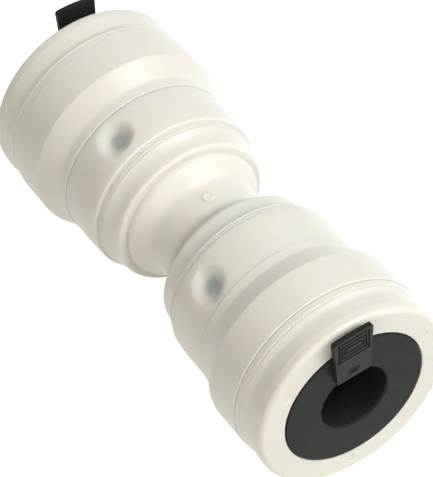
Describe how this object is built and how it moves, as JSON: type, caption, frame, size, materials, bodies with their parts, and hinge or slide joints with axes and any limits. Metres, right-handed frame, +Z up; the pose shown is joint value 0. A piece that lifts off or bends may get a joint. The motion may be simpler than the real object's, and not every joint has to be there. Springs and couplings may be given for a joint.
{
  "type": "push to connect fitting",
  "caption": "Straight push to connect union for two tubes, with white barrels either side of a narrow waist and a black release collar with a finger tab at each end.",
  "frame": {"origin": "middle of the union, on the tube axis, half way between the two port faces", "axes": "+X along the tube axis and out of the front port, +Z up through the finger tabs, +Y completing a right-handed frame"},
  "size_m": [0.092, 0.0374, 0.0385],
  "materials": {
    "white_plastic": "milky white moulded fluoropolymer, satin",
    "charcoal_plastic": "charcoal moulded plastic, satin",
    "dark_plastic": "dark grey moulded plastic",
    "natural_plastic": "undyed moulded plastic",
    "stainless": "bright rolled stainless strip",
    "seal_rubber": "black elastomer"
  },
  "bodies": {
    "union": {"union_body": "white_plastic", "front_end_cap": "white_plastic", "front_locking_collar": "white_plastic", "front_seal_carrier": "dark_plastic", "front_inner_o_ring": "seal_rubber", "front_outer_o_ring": "seal_rubber", "front_seal_spacer": "natural_plastic", "front_gland_washer": "natural_plastic", "rear_end_cap": "white_plastic", "rear_locking_collar": "white_plastic", "rear_seal_carrier": "dark_plastic", "rear_inner_o_ring": "seal_rubber", "rear_outer_o_ring": "seal_rubber", "rear_seal_spacer": "natural_plastic", "rear_gland_washer": "natural_plastic"},
    "front_grip": {"front_tooth_guide": "natural_plastic", "front_grab_ring": "stainless", "front_support_ring": "natural_plastic"},
    "front_release": {"front_release_collar": "charcoal_plastic"},
    "rear_grip": {"rear_tooth_guide": "natural_plastic", "rear_grab_ring": "stainless", "rear_support_ring": "natural_plastic"},
    "rear_release": {"rear_release_collar": "charcoal_plastic"}
  },
  "joints": [
    {"name": "front_turn", "type": "hinge", "parent": "union", "child": "front_grip", "pos_m": [0.0303, 0, 0], "axis": [1, 0, 0], "continuous": true},
    {"name": "front_press", "type": "slide", "parent": "front_grip", "child": "front_release", "axis": [-1, 0, 0], "range_m": [0, 0.00075], "stiffness_N_per_m": 8000, "springref_m": -0.0001, "deforming": ["front_grab_ring"]},
    {"name": "rear_turn", "type": "hinge", "parent": "union", "child": "rear_grip", "pos_m": [-0.0303, 0, 0], "axis": [-1, 0, 0], "continuous": true},
    {"name": "rear_press", "type": "slide", "parent": "rear_grip", "child": "rear_release", "axis": [1, 0, 0], "range_m": [0, 0.00075], "stiffness_N_per_m": 8000, "springref_m": -0.0001, "deforming": ["rear_grab_ring"]}
  ]
}
